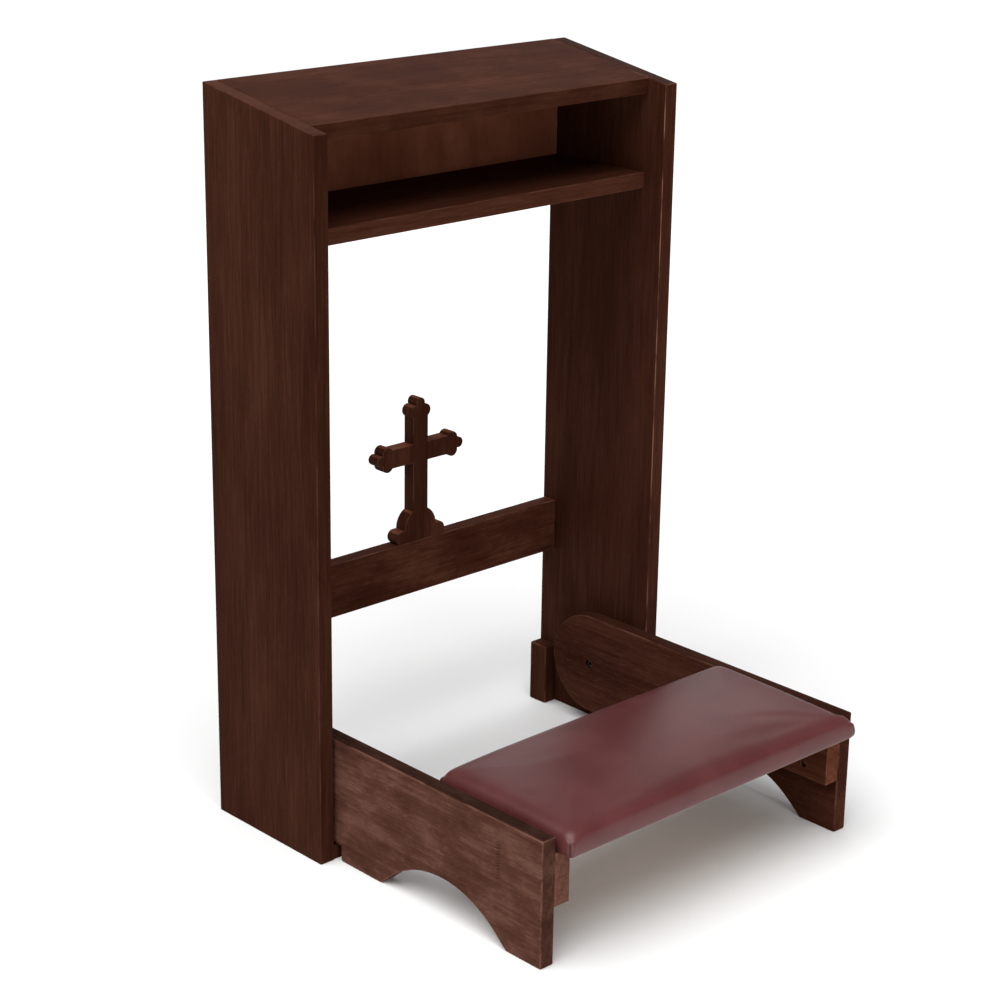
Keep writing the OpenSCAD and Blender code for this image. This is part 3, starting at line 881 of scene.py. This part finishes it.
def screwRecipe():
    # countersunk head with a cross recess, its face at the spot and its shank below it
    r = Recipe("countersunkScrew", headSizes)
    head = r.add("GeometryNodeMeshCone", None, {
        "Vertices": 32, "Radius Top": r.size("Head"), "Radius Bottom": r.size("Shank"),
        "Depth": r.size("Head height")})
    slots = []
    for long, thin in ((1.25, 0.2), (0.2, 1.25)):
        across, along = (r.math("MULTIPLY", r.size("Head"), share) for share in (long, thin))
        slots.append(r.add("GeometryNodeMeshCube", None, {
            "Size": r.vector(across, along, r.size("Head height"))}))
    head = r.add("GeometryNodeMeshBoolean", {"operation": "DIFFERENCE", "solver": "EXACT"},
                 {"Mesh 1": lowered(r, head, 1.0), "Mesh 2": slots})
    headedBy(r, [head, shankOf(r, 20)])
    return r


def nailRecipe():
    # round head, slightly domed, and a plain shank
    r = Recipe("roundNail", headSizes)
    rim = r.add("GeometryNodeMeshCylinder", None, {
        "Vertices": 28, "Radius": r.size("Head"), "Depth": r.math("MULTIPLY", r.size("Head height"), 0.6)})
    dome = r.add("GeometryNodeMeshCone", None, {
        "Vertices": 28, "Radius Top": r.math("MULTIPLY", r.size("Head"), 0.7),
        "Radius Bottom": r.size("Head"), "Depth": r.math("MULTIPLY", r.size("Head height"), 0.4)})
    headedBy(r, [lowered(r, rim, 0.7), lowered(r, dome, 0.4), shankOf(r, 14)])
    return r


def stapleRecipe():
    # flat wire crown with its ends turned up into the board
    sizes = {"Crown": "NodeSocketFloat", "Wire": "NodeSocketFloat", "Leg": "NodeSocketFloat",
             "Material": "NodeSocketMaterial"}
    r = Recipe("hemStaple", sizes)
    half = r.math("MULTIPLY", r.size("Crown"), 0.5)
    line = r.add("GeometryNodeCurvePrimitiveLine", None, {
        "Start": r.vector(x=r.math("MULTIPLY", half, -1.0)), "End": r.vector(x=half)})
    legs = []
    for side in (-1.0, 1.0):
        at = r.math("MULTIPLY", half, side)
        legs.append(r.add("GeometryNodeCurvePrimitiveLine", None, {
            "Start": r.vector(x=at), "End": r.vector(x=at, z=r.math("MULTIPLY", r.size("Leg"), -1.0))}))
    section = r.add("GeometryNodeCurvePrimitiveCircle", {"mode": "RADIUS"}, {
        "Resolution": 8, "Radius": r.size("Wire")})
    wire = r.add("GeometryNodeCurveToMesh", None, {
        "Curve": r.add("GeometryNodeJoinGeometry", None, {0: [line, *legs]}),
        "Profile Curve": section, "Fill Caps": True})
    r.finish(instanced(r, wire))
    return r


steel = metal("zincSteel", (0.42, 0.43, 0.44), (0.30, 0.31, 0.33), 0.28)
darkSteel = metal("boltSteel", (0.050, 0.036, 0.028), (0.025, 0.018, 0.014), 0.34)
brass = metal("insertBrass", (0.50, 0.34, 0.12), (0.36, 0.23, 0.08), 0.30)


def islands(node):
    # lowest and highest corner of each separate solid in a CAD node
    bm = weldedCopy(node)
    left, found = set(bm.verts), []
    while left:
        reach, group = [left.pop()], []
        while reach:
            vert = reach.pop()
            group.append(vert.co.copy())
            for edge in vert.link_edges:
                other = edge.other_vert(vert)
                if other in left:
                    left.discard(other)
                    reach.append(other)
        found.append((Vector(min(c[i] for c in group) for i in range(3)),
                      Vector(max(c[i] for c in group) for i in range(3))))
    bm.free()
    return sorted(found, key=lambda pair: tuple(round(c, 5) for c in pair[0]))


def headSpot(low, high, axis, sign):
    # middle of the face on the head's side, and the way it faces
    spot = (low + high) / 2
    spot[axis] = high[axis] if sign > 0 else low[axis]
    facing = [0.0, 0.0, 0.0]
    facing[axis] = float(sign)
    return spot, facing


screwSizes = {"Head": 0.0038, "Head height": 0.0030, "Shank": 0.0020, "Material": steel}
nailSizes = {"Head": 0.0018, "Head height": 0.0010, "Shank": 0.0009, "Material": steel}
pinSizes = {"Head": 0.0025, "Head height": 0.0008, "Shank": 0.0010, "Material": steel}
stapleSizes = {"Crown": 0.0092, "Wire": 0.0004, "Leg": 0.003, "Material": steel}
screw, nail = screwRecipe(), nailRecipe()


def fastened(name, node, axis, signOf, recipe, sizes, body):
    # one fastener for each solid of the CAD node, as long as it; signOf gives the side of the head
    found = islands(node)
    low, high = found[0]
    laidOut(name, [headSpot(a, b, axis, signOf(a)) for a, b in found], recipe,
            {**sizes, "Length": high[axis] - low[axis] - sizes["Head height"]}, body, [node])


fastened("cleatScrews", "cleat_screws", 0, lambda low: 1 if low.x < 0 else -1, screw, screwSizes, "kneeler")
fastened("padScrews", "pad_screws", 2, lambda low: -1, screw, screwSizes, "kneeler")
fastened("backNails", "back_nails", 1, lambda low: 1, nail, nailSizes, "frame")
fastened("shelfPins", "shelf_pins", 2, lambda low: 1, nail, pinSizes, "frame")
staples = islands("pad_staples")
laidOut("padStaples", [((a + b) / 2, (0.0, 0.0, -1.0)) for a, b in staples], stapleRecipe(),
        stapleSizes, "kneeler", ["pad_staples"])
print("fasteners: screws, nails, pins and", len(staples), "staples")


nylon = nylonFinish("nylonSpacer")
dowelWood = plainWood("dowelBeech", (0.52, 0.36, 0.22), (0.40, 0.26, 0.15))
plyWood = plainWood("padPlywood", (0.55, 0.40, 0.25), (0.36, 0.23, 0.13), layers=True)
carried = {
    "pivot_bolt_left": darkSteel, "pivot_bolt_right": darkSteel,
    "pivot_insert_left": brass, "pivot_insert_right": brass,
    "pivot_washer_left": nylon, "pivot_washer_right": nylon,
    "panel_dowels": dowelWood, "block_dowels": dowelWood, "cross_dowels": dowelWood,
    "pad_board": plyWood,
}
for node, material in carried.items():
    slots = frame["nodes"][node].material_slots
    for slot in slots:
        slot.material = material
    if not slots:
        frame["nodes"][node].data.materials.append(material)
print("carried over:", len(carried), "CAD nodes")


stageLook = {
    "floor": (0.90, 0.90, 0.90),
    "floorHalf": 30,
    "sky": 0.17,              # how much the surroundings light the object
    "backdrop": 1.0,          # how bright they look from the camera
    "sun": 3.4,
    "sunSpread": 60,
    "sunFrom": (-0.45, -0.12, 1.0),
}


def makeStage():
    look = stageLook
    half = look["floorHalf"]
    floorMesh = bpy.data.meshes.new("floor")
    floorMesh.from_pydata([(-half, -half, 0), (half, -half, 0), (half, half, 0), (-half, half, 0)],
                          [], [(0, 1, 2, 3)])
    floor = placed("floor", floorMesh)
    finish = Finish("paleFloor")
    dust = finish.noise(finish.place(), scale=3.0)
    shade = finish.mix(dust, look["floor"], tuple(c * 0.985 for c in look["floor"]))
    floorMesh.materials.append(finish.done(shade, 0.9, **{"Specular IOR Level": 0.0}))
    world = bpy.data.worlds.new("studio")
    bpy.context.scene.world = world
    world.use_nodes = True
    nodes, links = world.node_tree.nodes, world.node_tree.links
    sky = nodes["Background"]
    sky.inputs["Color"].default_value = (1, 1, 1, 1)
    seen = nodes.new("ShaderNodeLightPath")
    level = nodes.new("ShaderNodeMapRange")
    level.inputs["To Min"].default_value = look["sky"]
    level.inputs["To Max"].default_value = look["backdrop"]
    links.new(seen.outputs["Is Camera Ray"], level.inputs["Value"])
    links.new(level.outputs[0], sky.inputs["Strength"])
    lamp = bpy.data.lights.new("topLight", "SUN")
    lamp.energy = look["sun"]
    lamp.angle = math.radians(look["sunSpread"])
    sun = placed("topLight", lamp)
    sun.rotation_mode = "QUATERNION"
    sun.rotation_quaternion = Vector(look["sunFrom"]).to_track_quat("Z", "Y")


softboxes = {
    "frontSoftbox": {"place": (-0.7, -3.5, 0.85), "aim": (0, 0.1, 0.62), "size": (1.0, 0.7), "watts": 42},
    "backSoftbox": {"place": (2.3, 2.5, 1.9), "aim": (0, -0.15, 0.15), "size": (2.2, 1.4), "watts": 16},
}


def softLight(name, look):
    lamp = bpy.data.lights.new(name, "AREA")
    lamp.shape = "RECTANGLE"
    lamp.size, lamp.size_y = look["size"]
    lamp.energy = look["watts"]
    light = placed(name, lamp)
    light.location = look["place"]
    light.rotation_mode = "QUATERNION"
    light.rotation_quaternion = (Vector(look["aim"]) - light.location).to_track_quat("-Z", "Y")


cameraLook = {
    "place": (-1.7010, -1.7262, 1.2066),
    "azimuth": -43.287,
    "elevation": 18.964,
    "roll": 0.876,
    "lens": 86.77,
    "sensor": 36,
    "clip": (0.05, 200),
}


def makeCamera():
    look = cameraLook
    a, e, roll = (math.radians(look[k]) for k in ("azimuth", "elevation", "roll"))
    back = Vector((math.sin(a) * math.cos(e), -math.cos(a) * math.cos(e), math.sin(e)))
    right = (-back).cross(Vector((0, 0, 1))).normalized()
    up = right.cross(-back)
    tiltedRight = right * math.cos(roll) + up * math.sin(roll)
    tiltedUp = up * math.cos(roll) - right * math.sin(roll)
    lens = bpy.data.cameras.new("camera")
    lens.lens = look["lens"]
    lens.sensor_width = look["sensor"]
    lens.clip_start, lens.clip_end = look["clip"]
    camera = placed("camera", lens)
    turn = Matrix((tiltedRight, tiltedUp, back)).transposed().to_4x4()
    camera.matrix_world = Matrix.Translation(look["place"]) @ turn
    bpy.context.scene.camera = camera


makeStage()
for name, look in softboxes.items():
    softLight(name, look)
makeCamera()
bpy.context.scene.view_settings.view_transform = "Standard"
print("stage, lights and camera set")
